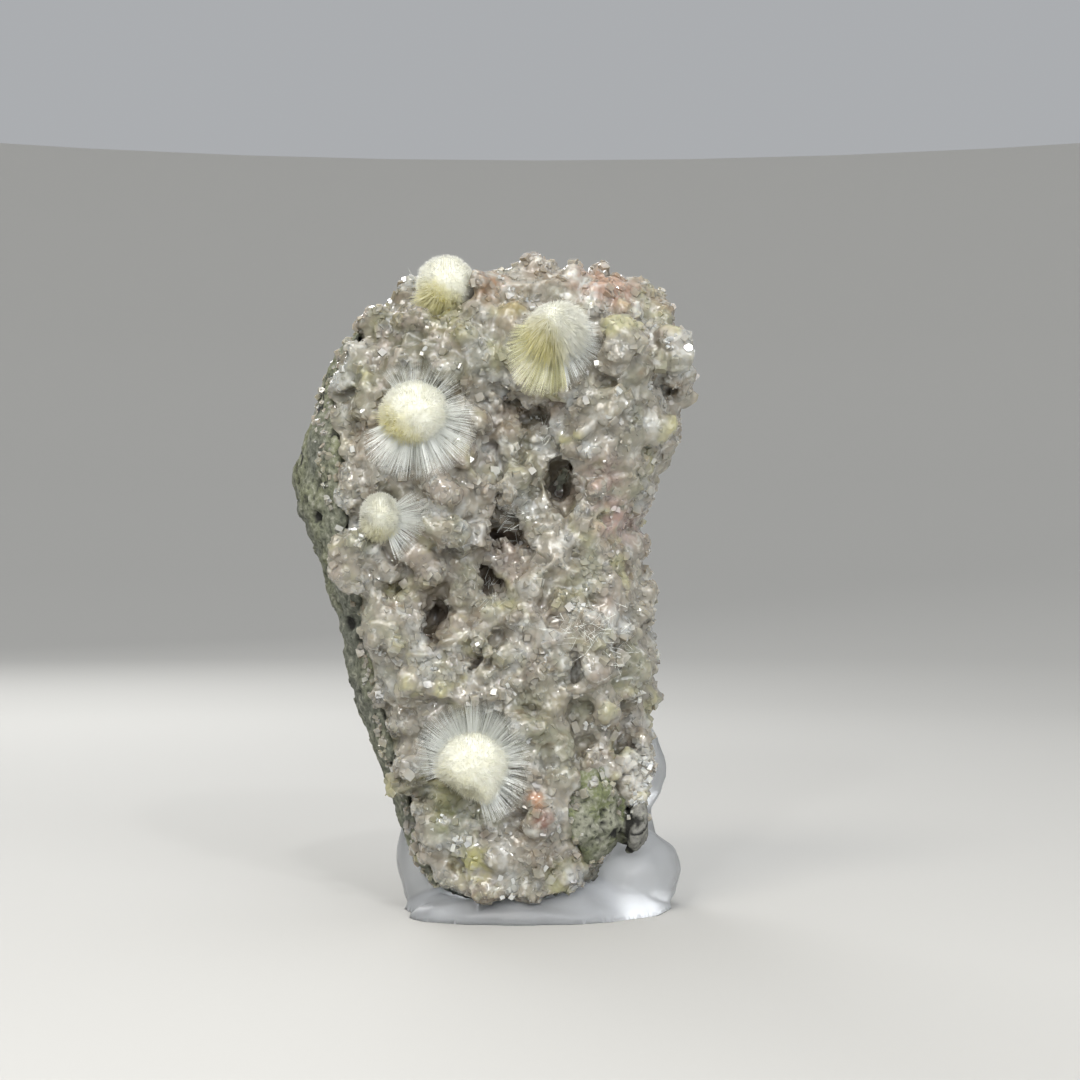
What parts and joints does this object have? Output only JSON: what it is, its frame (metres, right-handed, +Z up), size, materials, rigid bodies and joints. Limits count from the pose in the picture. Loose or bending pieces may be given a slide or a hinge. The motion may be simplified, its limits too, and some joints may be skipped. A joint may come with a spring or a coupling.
{
  "type": "mineral specimen",
  "caption": "Upright basalt slab with a crust of small glassy crystals, white okenite balls and hair-thin mesolite sprays, held in a lump of clear putty.",
  "frame": {"origin": "centre of the clear putty's flat underside, on the surface that the specimen stands on", "axes": "+Z up, along the specimen's height; the crystal-covered front faces -Y; +X to the right seen from the front"},
  "size_m": [0.0519, 0.0354, 0.0825],
  "materials": {
    "basalt": "matte",
    "crystal": "gloss",
    "okenite": "matte",
    "mesolite": "satin",
    "putty": "satin"
  },
  "bodies": {
    "root": {"basalt_matrix": "basalt", "crystal_crust": "crystal", "okenite_ball_top": "okenite", "okenite_ball_upper": "okenite", "okenite_ball_left": "okenite", "okenite_ball_small": "okenite", "okenite_ball_low": "okenite", "mesolite_spray_upper": "mesolite", "mesolite_spray_left": "mesolite", "mesolite_spray_small": "mesolite", "mesolite_spray_low": "mesolite", "clear_putty": "putty"}
  },
  "joints": []
}
